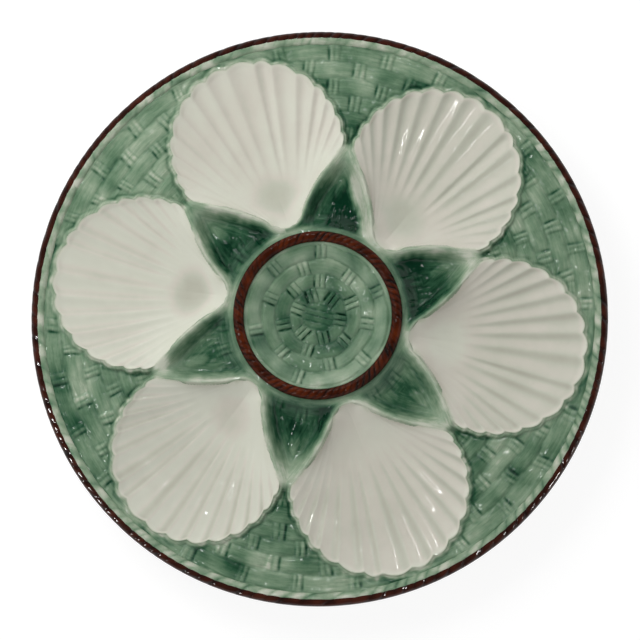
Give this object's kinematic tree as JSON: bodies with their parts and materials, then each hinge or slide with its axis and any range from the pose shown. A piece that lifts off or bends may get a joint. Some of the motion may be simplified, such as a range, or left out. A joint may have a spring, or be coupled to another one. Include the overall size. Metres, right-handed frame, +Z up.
{
  "type": "oyster plate",
  "caption": "Round glazed earthenware oyster plate: ribbed scallop-shell wells on a basket-weave ground round a sauce well, with rope borders and a foot ring.",
  "frame": {"origin": "centre of the plate on the table, where the foot ring stands", "axes": "+Z up out of the wells; +Y towards the top of the picture, +X to its right; the first shell's axis lies 50 degrees counter-clockwise from +X"},
  "size_m": [0.245, 0.245, 0.0253],
  "materials": {
    "shell_white_glaze": "gloss",
    "basket_green_glaze": "gloss",
    "well_green_glaze": "gloss",
    "rim_green_glaze": "gloss",
    "rope_brown_glaze": "gloss",
    "rim_brown_glaze": "gloss",
    "bare_foot": "matt"
  },
  "bodies": {
    "root": {"rim_band": "rim_brown_glaze", "rim_rope": "rim_green_glaze", "basket_ground": "basket_green_glaze", "shell_well_1": "shell_white_glaze", "shell_well_2": "shell_white_glaze", "shell_well_3": "shell_white_glaze", "shell_well_4": "shell_white_glaze", "shell_well_5": "shell_white_glaze", "shell_well_6": "shell_white_glaze", "well_rope": "rope_brown_glaze", "sauce_well": "well_green_glaze", "foot_ring": "bare_foot"}
  },
  "joints": []
}
